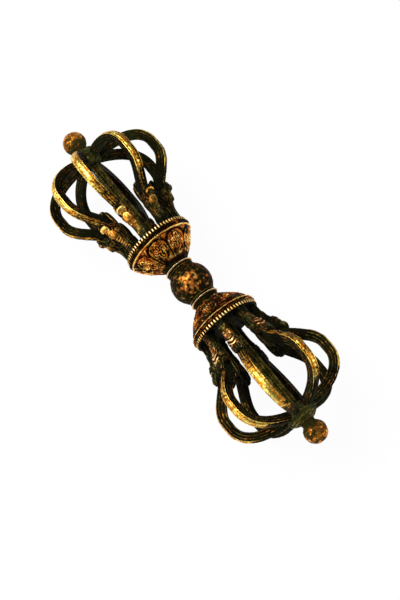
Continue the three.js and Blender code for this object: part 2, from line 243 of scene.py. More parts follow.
def worn_brass_group():
    """Node group for aged brass. Wear, broken up by noise, goes from patina that drifts from
    brown to green, through a brown half-worn film, to bare metal and then to bright metal.
    Puts out colour, metal share, roughness and relief."""
    film_range, metal_range, glint_range = (0.12, 0.42), (0.42, 0.64), (0.66, 1.05)
    patina_metal, film_metal, bare_metal = 0.6, 0.35, 1.0
    dull, polished, noise_roughness = 0.7, 0.38, 0.62
    group = bpy.data.node_groups.new("worn_brass", "ShaderNodeTree")
    sockets = {
        ("INPUT", "Color"): ("Glint", "Metal", "Film", "Olive Film", "Patina", "Verdigris"),
        ("INPUT", "Float"): ("Wear", "Break"),
        ("OUTPUT", "Color"): ("Color",),
        ("OUTPUT", "Float"): ("Metal Share", "Roughness", "Relief"),
    }
    for (way, kind), labels in sockets.items():
        for label in labels:
            group.interface.new_socket(name=label, in_out=way, socket_type=f"NodeSocket{kind}")
    nodes, links = group.nodes, group.links
    given = nodes.new("NodeGroupInput")
    result = nodes.new("NodeGroupOutput")
    place = nodes.new("ShaderNodeTexCoord")

    def noise(scale, detail):
        """Noise on the object's own coordinates; a scale of 1 is a grain of about 1 mm."""
        texture = nodes.new("ShaderNodeTexNoise")
        texture.inputs["Detail"].default_value = detail
        texture.inputs["Roughness"].default_value = noise_roughness
        texture.inputs["Scale"].default_value = scale / mm
        links.new(place.outputs["Object"], texture.inputs["Vector"])
        return texture.outputs["Fac"]

    def spread(value, low, high, to_low=0.0, to_high=1.0):
        """Linear map of a value from one range to another, held at both ends."""
        node = nodes.new("ShaderNodeMapRange")
        for label, number in (("From Min", low), ("From Max", high), ("To Min", to_low),
                              ("To Max", to_high)):
            node.inputs[label].default_value = number
        links.new(value, node.inputs["Value"])
        return node.outputs["Result"]

    def tint(share, low, high):
        """Colour between two colours by a share."""
        node = nodes.new("ShaderNodeMix")
        node.data_type = "RGBA"
        links.new(share, node.inputs["Factor"])
        links.new(low, node.inputs["A"])
        links.new(high, node.inputs["B"])
        return node.outputs["Result"]

    coarse, fine, drift, patch = noise(0.35, 3), noise(1.4, 4), noise(0.1, 2), noise(0.22, 2)
    broken = math_node(group, "ADD", spread(coarse, 0.32, 0.68, -1, 1),
                       spread(fine, 0.32, 0.68, -1, 1))
    worn = math_node(group, "MULTIPLY_ADD", broken, given.outputs["Break"], given.outputs["Wear"])
    film_share, metal_share = spread(worn, *film_range), spread(worn, *metal_range)
    patina = tint(spread(drift, 0.4, 0.6), given.outputs["Patina"], given.outputs["Verdigris"])
    film = tint(spread(patch, 0.42, 0.58), given.outputs["Film"], given.outputs["Olive Film"])
    colour = tint(film_share, patina, film)
    colour = tint(metal_share, colour, given.outputs["Metal"])
    bright = math_node(group, "MULTIPLY_ADD", spread(noise(0.55, 2), 0.35, 0.65, -1.5, 1.5),
                       given.outputs["Break"], worn)
    colour = tint(spread(bright, *glint_range), colour, given.outputs["Glint"])
    film_part = math_node(group, "MULTIPLY_ADD", film_share, film_metal - patina_metal, patina_metal)
    share = math_node(group, "MULTIPLY_ADD", metal_share, bare_metal - film_metal, film_part)
    roughness = math_node(group, "ADD", spread(worn, 0.1, 0.8, dull, polished),
                          spread(fine, 0.3, 0.7, -0.06, 0.1))
    links.new(colour, result.inputs["Color"])
    links.new(share, result.inputs["Metal Share"])
    links.new(roughness, result.inputs["Roughness"])
    links.new(math_node(group, "ADD", fine, coarse), result.inputs["Relief"])
    return group


worn_brass = worn_brass_group()
patina_gloss, relief_depth = 0.02, 0.15
olive_film = (0.085, 0.068, 0.011)


def aged_brass(name, glint, metal, film, patina, verdigris, olive=olive_film, gloss=patina_gloss,
               broken=0.15, relief=0.4):
    """Material of one finish: the worn brass group on the piece's own wear, with a fine relief."""
    material = bpy.data.materials.new(name)
    material.use_nodes = True
    nodes, links = material.node_tree.nodes, material.node_tree.links
    surface = nodes["Principled BSDF"]
    surface.inputs["Specular IOR Level"].default_value = gloss
    wear = nodes.new("ShaderNodeAttribute")
    wear.attribute_name = "wear"
    group = nodes.new("ShaderNodeGroup")
    group.node_tree = worn_brass
    for label, colour in (("Glint", glint), ("Metal", metal), ("Film", film), ("Olive Film", olive),
                          ("Patina", patina), ("Verdigris", verdigris)):
        group.inputs[label].default_value = (*colour, 1)
    group.inputs["Break"].default_value = broken
    height = nodes.new("ShaderNodeBump")
    height.inputs["Strength"].default_value = relief
    height.inputs["Distance"].default_value = relief_depth * mm
    links.new(wear.outputs["Fac"], group.inputs["Wear"])
    for label, target in (("Color", surface.inputs["Base Color"]),
                          ("Metal Share", surface.inputs["Metallic"]),
                          ("Roughness", surface.inputs["Roughness"]),
                          ("Relief", height.inputs["Height"])):
        links.new(group.outputs[label], target)
    links.new(height.outputs["Normal"], surface.inputs["Normal"])
    return material


dark_patina = (0.0045, 0.0032, 0.001)
green_patina = (0.008, 0.009, 0.0018)
brown_film = (0.120, 0.046, 0.007)
grip_finish = aged_brass("grip_brass", (0.92, 0.49, 0.15), (0.60, 0.17, 0.022),
                         (0.15, 0.048, 0.008), (0.012, 0.008, 0.002), green_patina, broken=0.2)


def turns_round(columns):
    """Row of even angles round the long axis, from straight up."""
    return np.linspace(0, 2 * np.pi, columns, endpoint=False)[None]


def about_axis(station, radius, angle):
    """Points at a station along the long axis, at a radius from it and an angle round it."""
    return np.stack([station + 0 * angle, radius * np.sin(angle), radius * np.cos(angle)], axis=-1)


def ball(centre, radius, columns, rows, stem):
    """Sphere about the long axis, from a stem radius on the left to one on the right: radius
    times cosine and sine of an even turn. Returns the points and their outward directions."""
    first, last = np.arcsin(stem[0] / radius), np.pi - np.arcsin(stem[1] / radius)
    turn = np.linspace(first, last, rows)[:, None]
    out = about_axis(-np.cos(turn), np.sin(turn), turns_round(columns))
    return np.array([centre, 0, 0]) + radius * out, out


def lift_axis(points):
    """Moves points from the long axis to where the axis lies above the table."""
    return points + np.array([0, 0, axis_height / mm])


points, out = ball(0, ball_radius, ball_columns, ball_rows, (ball_stem, ball_stem))
pits, dents = pit_depth * ripple(points, pit_size, 1), dent_depth * ripple(points, dent_size, 2)
# Held patch towards the camera and the lamp: partly wear, partly a painted highlight.
facing = out @ (worn_and_lit_spot / np.linalg.norm(worn_and_lit_spot))
wear = ball_dull + ball_held_and_lit * smooth_step(facing, spot_edge, spot_core)
wear += ball_mottle * ripple(points, mottle_size, 3) + pit_wear * pits
points = points + out * (pits + dents - pit_depth - dent_depth)[..., None]
lay("grip_ball_cast", [skin(lift_axis(points), wear)], grip_finish, "grip_ball")


# A collar ring sits on each side of the ball. It is turned, with one sharp crest that the
# hand keeps bright, a fainter line next to the ball and dark grooves between them.
turned_columns = 256


def box_mm(node):
    """Lowest and highest corner of a CAD node, in millimetres."""
    return tuple(np.array(corner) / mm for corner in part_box(node))


collar_low, collar_high = box_mm("collar_ring_b")
collar_crest = collar_high[0] - 1.35
collar_base, collar_bore = (collar_high[2] - collar_low[2]) / 2 - 0.75, 3.0
collar_lap = collar_high[0] + 0.4
collar_rows = 60
collar_dull, collar_shine, shine_power = 0.02, 2.3, 1.3
collar_dent, collar_dent_size = 0.035, 1.6
collar_finish = aged_brass("collar_brass", (1.0, 0.74, 0.42), (0.74, 0.34, 0.11),
                           brown_film, dark_patina, green_patina, broken=0.1)

# Turned lines as distance from the crest, width and height
collar_lines = [(0, 0.34, 0.72), (-1.15, 0.2, 0.26), (-0.62, 0.2, -0.22), (0.72, 0.3, -0.2)]


def bumps(x, lines):
    """Sum of bell curves, each of its own middle, width and height."""
    return sum(height * bump(x, middle, width) for middle, width, height in lines)


def turned(profile, columns=turned_columns):
    """Surface of revolution about the long axis, from rows of station, radius and wear."""
    station, radius, wear = (np.asarray(part)[:, None] for part in zip(*profile))
    angle = turns_round(columns)
    return about_axis(station, radius, angle), wear + 0 * angle


def roughened(points, size, depth, seed):
    """Moves points of a turned piece towards or away from the axis by a random field."""
    away = points * np.array([0, 1, 1])
    away /= np.maximum(np.linalg.norm(away, axis=-1, keepdims=True), 1e-6)
    return points + away * (ripple(points, size, seed) * depth)[..., None]


def mirrored(points, end):
    """Puts a piece of cage b, at +X, into cage a or b; end is -1 or +1."""
    return points * np.array([end, 1, 1])


ends = {"a": -1, "b": 1}
station = np.linspace(collar_low[0], collar_high[0], collar_rows)
rise = bumps(station - collar_crest, collar_lines)
wear = collar_dull + collar_shine * np.clip(rise, 0, 1) ** shine_power
collar_profile = [(collar_low[0], collar_bore, 0.0), *zip(station, collar_base + rise, wear),
                  (collar_lap, collar_base + rise[-1], 0.0), (collar_lap, collar_bore, 0.0)]
for side, end in ends.items():
    points, wear = turned(collar_profile)
    points = roughened(mirrored(points, end), collar_dent_size, collar_dent, 11)
    lay(f"collar_ring_turned_{side}", [skin(lift_axis(points), wear)], collar_finish,
        f"collar_ring_{side}")


# The lotus cup opens from the collar to the heads of the prongs. It is cast with eight petals
# and chased: each has a raised edge and a palmette, with small buds between the petal tips.
cup_low, cup_high = box_mm("lotus_cup_b")
cup_length = 10.3
cup_foot, cup_mouth, cup_belly = 5.0, (cup_high[2] - cup_low[2]) / 2, 0.75
petal_count, petal_shoulder, petal_tip = 8, 4.5, 8.1
petal_power, petal_swell, foot_blend = 2.3, 0.34, 1.5
bud_drop, bud_width, bud_height = 0.75, 1.15, 0.24
fillet_station = {"a": 8.75, "b": 9.15}
palmette_sink, lip_width, spigot_radius, tang_radius = 0.06, 0.25, 11.2, 1.9
cup_rows, cup_columns = 104, 640
cup_dent, cup_dent_size = 0.05, 0.9
cup_wear, swell_wear, fillet_wear, foot_shade = 0.40, 0.5, 0.50, 0.5
cup_mottle, cup_mottle_size = 0.20, 2.2
cup_rub = {"a": -0.12, "b": -0.34}
cup_chase = {"a": 1.5, "b": 1.15}
lotus_finish = aged_brass("lotus_brass", (1.0, 0.76, 0.22), (0.80, 0.25, 0.020),
                          (0.34, 0.070, 0.007), (0.016, 0.0045, 0.001), dark_patina, broken=0.26)

# Rings turned in the mouth of the cup, as rows of station, radius and wear
mouth_floor = cup_high[0] - 0.1
mouth_radius_run = np.linspace(10.8, 2.6, 30)
mouth_waves = np.abs(np.sin(1.9 * mouth_radius_run))
mouth_rings = list(zip(mouth_floor - 0.14 * mouth_waves, mouth_radius_run,
                       0.16 - 0.2 * mouth_waves))


def cup_wall(station):
    """Radius of the plain cup at a station from its foot: a cone with a slight belly."""
    share = station / cup_length
    return cup_foot + (cup_mouth - cup_foot) * share + 4 * cup_belly * share * (1 - share)


def softened(knots, rounds=5):
    """Smooth curve near a few knots: each round cuts every corner at a quarter and three
    quarters of its sides, and keeps both ends."""
    run = np.array(knots, dtype=float)
    for _ in range(rounds):
        near, far = run[:-1], run[1:]
        cut = np.stack([0.75 * near + 0.25 * far, 0.25 * near + 0.75 * far], axis=1)
        run = np.vstack([run[:1], cut.reshape(-1, run.shape[1]), run[-1:]])
    return run


def curl(centre, start_radius, end_radius, first, turns, count=70):
    """Spiral whose radius falls evenly with its turn."""
    share = np.linspace(0, 1, count)
    angle = first + turns * 2 * np.pi * share
    radius = start_radius + (end_radius - start_radius) * share
    return np.stack([centre[0] + radius * np.cos(angle), centre[1] + radius * np.sin(angle)],
                    axis=-1)


def line_field(across, along, lines):
    """Relief of chased lines: each is a ridge of its own width and height with a groove on both
    sides, at the distance of every point of the field to the line."""
    field = np.zeros(np.broadcast(across, along).shape)
    for run, wide, high in lines:
        distance = np.sqrt(((across[..., None] - run[:, 0]) ** 2
                            + (along[..., None] - run[:, 1]) ** 2).min(axis=-1))
        field += high * (bump(distance, 0, wide) - 0.34 * bump(distance, 1.8 * wide, 0.7 * wide))
    return field


# Right half of the palmette on a petal, as curves of distance across and station
palmette_lines = [
    (softened([(0, 0.8), (0, 2.4), (0, 4.3)], 3), 0.20, 0.26),
    (curl((1.35, 4.9), 0.95, 0.2, -0.6 * np.pi, 1.35), 0.20, 0.34),
    (softened([(0.2, 4.2), (0.9, 5.6), (0.55, 6.6), (0, 7.0)]), 0.20, 0.34),
    (softened([(0.25, 2.0), (0.9, 2.6), (1.25, 3.5), (0.8, 3.9)]), 0.17, 0.26),
    (softened([(0, 5.3), (0, 5.7)], 2), 0.30, 0.36),
    (curl((2.25, 3.9), 0.45, 0.15, 0.5 * np.pi, 1.0), 0.16, 0.24),
]


def cup_relief(station, angle, fillet):
    """Swell of the petals over the plain wall, and the height of the chasing on them, at a
    station and an angle round the axis. The petal's edge is a rounded arch in rho = 1."""
    pitch = 2 * np.pi / petal_count
    turn = (angle / pitch) % 1 * 2 - 1
    beyond = np.maximum(station - petal_shoulder, 0) / (petal_tip - petal_shoulder)
    rho = (np.abs(turn) ** petal_power + beyond ** petal_power) ** (1 / petal_power)
    across = turn * pitch / 2 * cup_wall(station)
    inside = 1 - smooth_step(rho, 0.70, 0.78)
    on_petal = 1 - smooth_step(station, petal_tip + 0.1, petal_tip + 0.25)
    swell = petal_swell * np.sqrt(np.clip(1 - rho ** 2, 0, 1)) * smooth_step(station, 0, foot_blend)
    chased = bumps(rho, [(0.755, 0.035, -0.08), (0.85, 0.06, 0.12),
                         (0.985, 0.09, -0.46 * on_petal)])
    palmette = line_field(np.abs(across), station + 0 * across, palmette_lines)
    chased += inside * (palmette - palmette_sink)
    bud_across = (turn - np.sign(turn)) * pitch / 2 * cup_wall(station)
    reach = np.hypot(bud_across / bud_width, station - petal_tip + bud_drop)
    bud = bumps(reach, [(0, 0.3, bud_height), (0.62, 0.2, bud_height)])
    chased += bud * smooth_step(rho, 1.08, 1.18) * on_petal
    border = cup_length - fillet
    chased += bumps(station, [(fillet - 0.4, 0.14, -0.16), (fillet, 0.19, 0.40),
                              (fillet + border / 2 + 0.05, 0.3 * border, -0.5)])
    return swell, chased


for side, end in ends.items():
    angle = turns_round(cup_columns)
    station = np.linspace(0, cup_length - 0.12, cup_rows)[:, None]
    fillet = fillet_station[side]
    swell, chased = cup_relief(station, angle, fillet)
    outer = roughened(about_axis(cup_low[0] + station, cup_wall(station) + swell + chased, angle),
                      cup_dent_size, cup_dent, 21)
    wear = cup_wear + cup_rub[side] + cup_chase[side] * chased + swell_wear * swell
    wear += cup_mottle * ripple(outer, cup_mottle_size, 22)
    wear += (fillet_wear - cup_rub[side]) * bump(station, fillet, 0.25)
    wear *= 1 - foot_shade * bump(station, 0, 1.2)
    inner, inner_wear = turned([
        (cup_low[0] + cup_length, cup_mouth - lip_width, 0.3),
        (cup_low[0] + cup_length, spigot_radius, 0.0), (cup_high[0], spigot_radius, 0.05),
        *mouth_rings, (mouth_floor, tang_radius, 0.0),
    ], cup_columns)
    points, wear = np.vstack([outer, inner]), np.vstack([wear, inner_wear])
    lay(f"lotus_cup_chased_{side}", [skin(lift_axis(mirrored(points, end)), wear)],
        lotus_finish, f"lotus_cup_{side}")


# A beaded rim closes the mouth of each cup. Its beads are cast in one ring, longer along the
# axis than across, and each top is rubbed bright while the gaps stay black.
rim_low, rim_high = box_mm("beaded_rim_b")
rim_radius, rim_bore = (rim_high[2] - rim_low[2]) / 2, 11.6
bead_count, bead_share, bead_depth = 64, 0.74, 0.62
bead_columns, bead_rows = bead_count * 12, 15
gap_wear, top_wear, top_power = -0.25, 1.25, 1.4
rim_mottle, rim_mottle_size = 0.26, 4.0
rim_finish = aged_brass("rim_brass", (0.86, 0.68, 0.32), (0.66, 0.36, 0.08), brown_film,
                        dark_patina, green_patina, broken=0.1, relief=0.2)
angle = turns_round(bead_columns)
share = np.linspace(-1, 1, bead_rows)[:, None]
station = (rim_low[0] + rim_high[0]) / 2 + (rim_high[0] - rim_low[0]) / 2 * share
beat = np.abs(angle * bead_count / (2 * np.pi) % 1 * 2 - 1)
dome = np.sqrt(np.clip(1 - (beat / bead_share) ** 2, 0, 1) * np.clip(1 - share ** 4, 0, 1))
outer = about_axis(station, rim_radius - bead_depth * (1 - dome), angle)
inner, inner_wear = turned([(rim_high[0], rim_bore, 0), (rim_low[0], rim_bore, 0)], bead_columns)
bead_wear = gap_wear + top_wear * dome ** top_power
bead_wear += rim_mottle * ripple(outer, rim_mottle_size, 25)
points = np.vstack([inner[1:], outer, inner[:1]])
wear = np.vstack([inner_wear[1:], bead_wear, inner_wear[:1]])
for side, end in ends.items():
    lay(f"beaded_rim_cast_{side}", [skin(lift_axis(mirrored(points, end)), wear)],
        rim_finish, f"beaded_rim_{side}")


# The middle prong is a square bar on the axis of each cage. It is forged with a raised line
# along each face, and little worn, because the cage keeps hands away from it.
hub_low, hub_high = box_mm("tip_hub_b")
bar_half, bar_power, bar_sink = 1.7, 7, 0.12
bar_dent, bar_dent_size = 0.06, 1.8
bar_wear, bar_line_wear, bar_edge_wear = 0.26, 1.3, 0.16
bar_columns, bar_rows = 80, 100
bar_finish = aged_brass("bar_brass", (0.5, 0.36, 0.10), (0.24, 0.14, 0.032),
                        (0.060, 0.040, 0.010), dark_patina, green_patina)
angle = turns_round(bar_columns)
station = np.linspace(cup_high[0] - 0.1, hub_low[0] + 0.5, bar_rows)[:, None]
square = bar_half / (np.abs(np.cos(angle)) ** bar_power
                     + np.abs(np.sin(angle)) ** bar_power) ** (1 / bar_power)
off_line = np.abs((angle / (np.pi / 2) + 0.5) % 1 * 2 - 1)
line = bumps(off_line, [(0, 0.12, 0.13), (0.32, 0.12, -0.14)])
points = about_axis(station, square + line - bar_sink + 0 * station, angle)
points = roughened(points, bar_dent_size, bar_dent, 31)
wear = (bar_wear + bar_line_wear * line + bar_edge_wear * smooth_step(off_line, 0.75, 1)
        + 0 * station)
for side, end in ends.items():
    lay(f"middle_prong_bar_{side}", [skin(lift_axis(mirrored(points, end)), wear)],
        bar_finish, f"middle_prong_{side}")


# Eight curved prongs make each cage. A prong is a forged bar with a flattened crown, a fine
# line on each side of it and grooved flanks; its root has ridges where it leaves the jaws.
prong_turns = {
    "a": [24, 61.5, 104.5, 157.5, 202.5, 241.5, 290.5, 337.5],
    "b": [22.5, 60, 104.5, 157.5, 202.5, 238.5, 284.5, 334.5],
}
head_start = rim_high[0] + 0.3
cage_length, cage_radius = 43.4, 24.9
prong_width, prong_tip_width, inner_width = 3.4, 2.0, 2.1
root_thickness, crest_thickness, tip_thickness = 4.4, 4.1, 4.0
crown_band, crown_fall, side_band = 1.0, math.radians(22.5), 0.55
mouth_station, mouth_radius, root_lean = 12.5, 14.8, math.radians(45)
crest_station, crest_run, crest_ease = 28.5, 3.0, 5.0
root_straight, root_swell = 4.4, 3.6
shoulder_reach, foot_drop, foot_radius = 8.2, 13.5, 3.6
crest_begins, crest_ends = 24, 27
ridges_fade, ridges_end, plain_begins, plain_full = 7.5, 11, 13, 18
prong_steps, prong_columns = 210, 88
line_place, line_width, line_height, line_wear = 1.5, 0.17, 0.10, 0.68
groove_place, groove_width, groove_depth, groove_wear = 1.12, 0.18, 0.10, -0.26
nick_pitch, nick_depth, nick_wear = 1.25, 0.16, -0.55
ridge_pitch, ridge_height, ridge_wear, root_wear = 1.02, 0.20, 0.45, -0.24
strand_pitch, strand_height, first_strand = 1.12, 0.13, 1.5
crown_sink, crown_wear, edge_wear_and_light, fall_wear = 0.12, 0.25, 0.26, -0.16
crest_wear, crest_middle, crest_reach = 0.44, 25, 10.5
chisel_size, chisel_depth, chisel_wear = 1.1, 0.05, 0.28
hammer_size, hammer_depth = 4.5, 0.08
flank_marks, crown_marks = 0.4, 0.8
flank_mottle, crown_mottle, prong_mottle_size = 0.05, 0.09, 5
strand_mottle, strand_mottle_size = 0.18, 1.5
# Prongs that face up to the lamps get lighter crowns: partly wear, partly painted light.
facing_side, facing_up, top_reach, least_polish_and_light = 0.6, 0.8, 0.9, -0.3
reach_wear_and_sheen, least_reach, reach_shade = 0.36, 0.2, -0.14
tip_polish_and_light, tip_band, tip_blend = 2.5, 0.3, 0.35
# Cage a's tips slope towards the window lamp and are lighter, cage b's darker: painted highlight and
# painted shade.
tip_rub_and_light = {"a": 0.34, "b": -0.6}
strand_rub = {"a": 0.19, "b": 0.34}
prong_finish = aged_brass("prong_brass", (0.90, 0.79, 0.19), (0.68, 0.27, 0.020),
                          (0.160, 0.057, 0.008), dark_patina, (0.011, 0.013, 0.003),
                          olive=(0.085, 0.070, 0.016), gloss=0.03, broken=0.13, relief=0.3)


def bezier(knots, share):
    """Cubic curve through its first and last knot, as the usual four weights."""
    share = share[:, None]
    weights = ((1 - share) ** 3, 3 * share * (1 - share) ** 2, 3 * share ** 2 * (1 - share),
               share ** 3)
    return sum(weight * np.array(knot) for weight, knot in zip(weights, knots))


def even_run(points, count):
    """The same run of points at equal steps of its length."""
    steps = np.linalg.norm(np.diff(points, axis=0), axis=1)
    along = np.concatenate([[0], np.cumsum(steps)])
    wanted = np.linspace(0, along[-1], count)
    return np.stack([np.interp(wanted, along, column) for column in points.T], axis=-1), wanted


def crown_path():
    """Outer edge of a prong in its plane: a straight root, a rise, a flat crest and the descent
    to the hub, at equal steps, with the length so far."""
    lean = np.array([math.cos(root_lean), math.sin(root_lean)])
    root = np.array([mouth_station, mouth_radius])
    knee = root + lean * root_straight
    rise = np.array([crest_station - crest_run / 2, cage_radius])
    drop = np.array([crest_station + crest_run / 2, cage_radius])
    foot = np.array([cage_length - 0.3, foot_radius])
    share = np.linspace(0, 1, 120)
    run = np.vstack([
        [root],
        bezier((knee, knee + lean * root_swell, rise - (crest_ease, 0), rise), share),
        bezier((drop, drop + (shoulder_reach, 0), foot + (0, foot_drop), foot), share),
    ])
    return even_run(run, prong_steps)


def prong_section():
    """Section of a prong as side and height, and its outward normals: a trapezium with softened
    corners, at equal steps from the middle of the crown."""
    half = prong_width / 2
    shoulder = -(half - crown_band / 2) * math.tan(crown_fall)
    corners = np.array([
        (0, 0), (crown_band / 2, 0), (half, shoulder), (half, shoulder - side_band),
        (inner_width / 2, -crest_thickness), (-inner_width / 2, -crest_thickness),
        (-half, shoulder - side_band), (-half, shoulder), (-crown_band / 2, 0), (0, 0),
    ])
    outline, _ = even_run(corners, prong_columns + 1)
    outline = outline[:-1]
    outline = (np.roll(outline, 1, axis=0) + 2 * outline + np.roll(outline, -1, axis=0)) / 4
    ahead = np.roll(outline, -1, axis=0) - np.roll(outline, 1, axis=0)
    normal = np.stack([-ahead[:, 1], ahead[:, 0]], axis=-1)
    normal /= np.linalg.norm(normal, axis=1, keepdims=True)
    if (normal * (outline - outline.mean(axis=0))).sum() < 0:
        normal = -normal
    return outline, normal


def strands_at(place, pitch):
    """Narrow ridges at even steps with flats between them: the sixth power of a cosine."""
    return np.cos(place * np.pi / pitch) ** 6


def stand(points, end, turn):
    """Puts points of station, side and radius into a cage at a turn from straight up."""
    station, side, radius = np.moveaxis(points, -1, 0)
    cos, sin = math.cos(turn), math.sin(turn)
    return lift_axis(np.stack([end * (head_start + station), side * cos - radius * sin,
                               side * sin + radius * cos], axis=-1))


def swept(path, outward, section_side, section_height):
    """Carries a section along a path in the prong's plane. Path and outward hold station and
    radius; the section holds side and height for each step."""
    flat = path[:, None] + outward[:, None] * section_height[..., None]
    return np.stack([flat[..., 0], section_side + 0 * flat[..., 0], flat[..., 1]], axis=-1)


def reach_and_light(turn):
    """How much hands reach a prong at a turn from straight up, and how far it faces the camera and
    the lamps: 1 where both are most. Crowns are made lighter by it, partly wear and partly painted
    light.
    """
    return facing_side * math.sin(turn) + facing_up * math.cos(turn)


def edge_reach_and_light(turn):
    """How much lighter the right edge of a crown is than its left edge, at a turn: partly wear where
    hands reach, partly painted light on the edge that faces the lamps.
    """
    return facing_up * math.sin(turn) - facing_side * math.cos(turn)


path, run_length = crown_path()
heading = np.gradient(path, axis=0)
heading[-1] = (0, -1)
heading /= np.linalg.norm(heading, axis=1, keepdims=True)
outward = np.stack([-heading[:, 1], heading[:, 0]], axis=-1)
outline, outline_normal = prong_section()
to_crest = np.clip(run_length / crest_begins, 0, 1)
to_tip = np.clip((run_length - crest_ends) / (run_length[-1] - crest_ends), 0, 1)
thickness = (root_thickness + (crest_thickness - root_thickness) * to_crest
             + (tip_thickness - crest_thickness) * to_tip)
width = prong_width + (prong_tip_width - prong_width) * to_tip ** 4
across = outline[:, 0] * (width / prong_width)[:, None]
height = outline[:, 1] * (thickness / crest_thickness)[:, None]
off_middle, depth = np.abs(outline[:, 0])[None], -outline[:, 1][None]
crown = 1 - smooth_step(depth, 0.45, 0.6)
flank = smooth_step(depth, 0.7, 0.95)
edge_line = bump(off_middle, line_place, line_width) * crown
edge_groove = bump(off_middle, groove_place, groove_width) * crown
strand = strands_at(depth - first_strand, strand_pitch) * flank
root_share = (1 - smooth_step(run_length, ridges_fade, ridges_end))[:, None]
ridges = np.cos(off_middle * 2 * np.pi / ridge_pitch) * crown * root_share
nicks = (0.5 + 0.5 * np.cos(run_length * 2 * np.pi / nick_pitch))[:, None] ** 3
nicks = nicks * edge_groove * (1 - root_share)
lined_relief = (line_height * edge_line - groove_depth * edge_groove * (1 - root_share)
                - nick_depth * nicks)
lined_wear = line_wear * edge_line + groove_wear * edge_groove + nick_wear * nicks
plain_relief = (strand_height * (strand - 0.5) * flank - crown_sink * crown
                + ridge_height * (ridges - 1) * root_share * crown)
crest_glow = crest_wear * bump(run_length, crest_middle, crest_reach)[:, None]
prong_wear = (crown * (crown_wear + crest_glow) + fall_wear * bump(depth, 0.8, 0.2)
              + (ridge_wear * ridges + root_wear) * root_share)
at_crest = smooth_step(run_length, plain_begins, plain_full)[:, None]
for side, end in ends.items():
    for number, degrees in enumerate(prong_turns[side], 1):
        turn = math.radians(degrees)
        reach = reach_and_light(turn)
        plain = smooth_step(reach, top_reach, 0.97) * at_crest
        relief = plain_relief + lined_relief * (1 - plain)
        side_offset = across + outline_normal[:, 0] * relief
        height_offset = height + outline_normal[:, 1] * relief
        points = stand(swept(path, outward, side_offset, height_offset), end, turn)
        chisel = ripple(points, chisel_size, 41)
        marks = chisel_depth * np.abs(chisel)
        marks += hammer_depth * np.abs(ripple(points, hammer_size, 42))
        height_offset = height_offset - marks * (flank_marks + crown_marks * crown)
        points = stand(swept(path, outward, side_offset, height_offset), end, turn)
        wear = prong_wear + lined_wear * (1 - plain)
        # Painted light and wear: crowns that face up to the lamps are lighter.
        wear += crown * (reach_wear_and_sheen * max(reach, least_reach) + reach_shade + chisel_wear * chisel)
        wear += (flank_mottle + crown_mottle * crown) * ripple(points, prong_mottle_size, 43)
        # Painted light: the crown edge that faces the lamps is lighter.
        wear += edge_wear_and_light * edge_reach_and_light(turn) * crown * outline[:, 0]
        wear += strand * (strand_rub[side] + strand_mottle * ripple(points, strand_mottle_size, 44))
        # Tips: painted highlight on cage a, painted shade on cage b, lighter still where they face
        # up.
        tip_start = tip_band * max(reach, 0)
        at_tip = crown * smooth_step(to_tip, tip_start, tip_start + tip_blend)[:, None]
        wear += at_tip * (max(tip_polish_and_light * (reach - top_reach), least_polish_and_light) + tip_rub_and_light[side])
        lay(f"curved_prong_forged_{side}{number}", [skin(points, wear)], prong_finish,
            f"curved_prong_{side}{number}")


# The tip hub gathers the prong tips: a round shoulder over them with a shallow flute between
# each pair, and a short neck for the finial. Hands rarely reach it, so it stays olive green.
flange_station = head_start + cage_length
flange_radius, core_radius, neck_radius, hub_bore = 6.2, 3.3, 2.8, 1.6
boss_station, boss_radius, boss_depth = flange_station - 0.6, 6.9, 4.4
flute_count, first_flute, flute_depth = 8, math.radians(22.5), 0.7
hub_columns = 240
hub_dent, hub_dent_size, hub_mottle = 0.13, 1.3, 0.26
flute_shade, ring_wear, ring_pitch = 0.12, 0.16, 1.1
hub_finish = aged_brass("hub_brass", (0.55, 0.42, 0.12), (0.26, 0.19, 0.04),
                        (0.085, 0.070, 0.016), (0.028, 0.026, 0.008), (0.042, 0.050, 0.012))
share = np.linspace(0, 1, 30)
boss = zip(boss_station - boss_depth * (1 - share) ** 1.5,
           core_radius + (boss_radius - core_radius) * np.sin(share * np.pi / 2) ** 0.8,
           0.10 + 0.14 * share)
shoulder = zip(flange_station + 0.15 + share * (hub_high[0] - flange_station - 0.6),
               neck_radius + (flange_radius - 0.3 - neck_radius) * (1 - share ** 1.5) ** 0.6,
               0.24 + 0.1 * share)
hub_profile = [(hub_low[0], hub_bore, 0.0), (hub_low[0], core_radius, 0.1), *boss,
               (boss_station + 0.2, flange_radius - 0.2, 0.05), *shoulder,
               (hub_high[0] - 0.3, neck_radius + 0.2, 0.35), (hub_high[0], neck_radius, 0.2),
               (hub_high[0], hub_bore, 0.0)]
for side, end in ends.items():
    points, wear = turned(hub_profile, hub_columns)
    angle = np.arctan2(points[..., 1], points[..., 2])
    reach = np.hypot(points[..., 1], points[..., 2])
    lobe = 0.5 - 0.5 * np.cos(flute_count * (angle - first_flute))
    cut = flute_depth * lobe * smooth_step(reach, neck_radius + 0.4, flange_radius)
    points = points * (1 - cut[..., None] / flange_radius * np.array([0, 1, 1]))
    points = roughened(mirrored(points, end), hub_dent_size, hub_dent, 51)
    wear = wear - flute_shade * cut + hub_mottle * ripple(points, hub_dent_size, 51)
    wear += ring_wear * np.cos(reach * 2 * np.pi / ring_pitch)
    lay(f"tip_hub_cast_{side}", [skin(lift_axis(points), wear)], hub_finish,
        f"tip_hub_{side}")


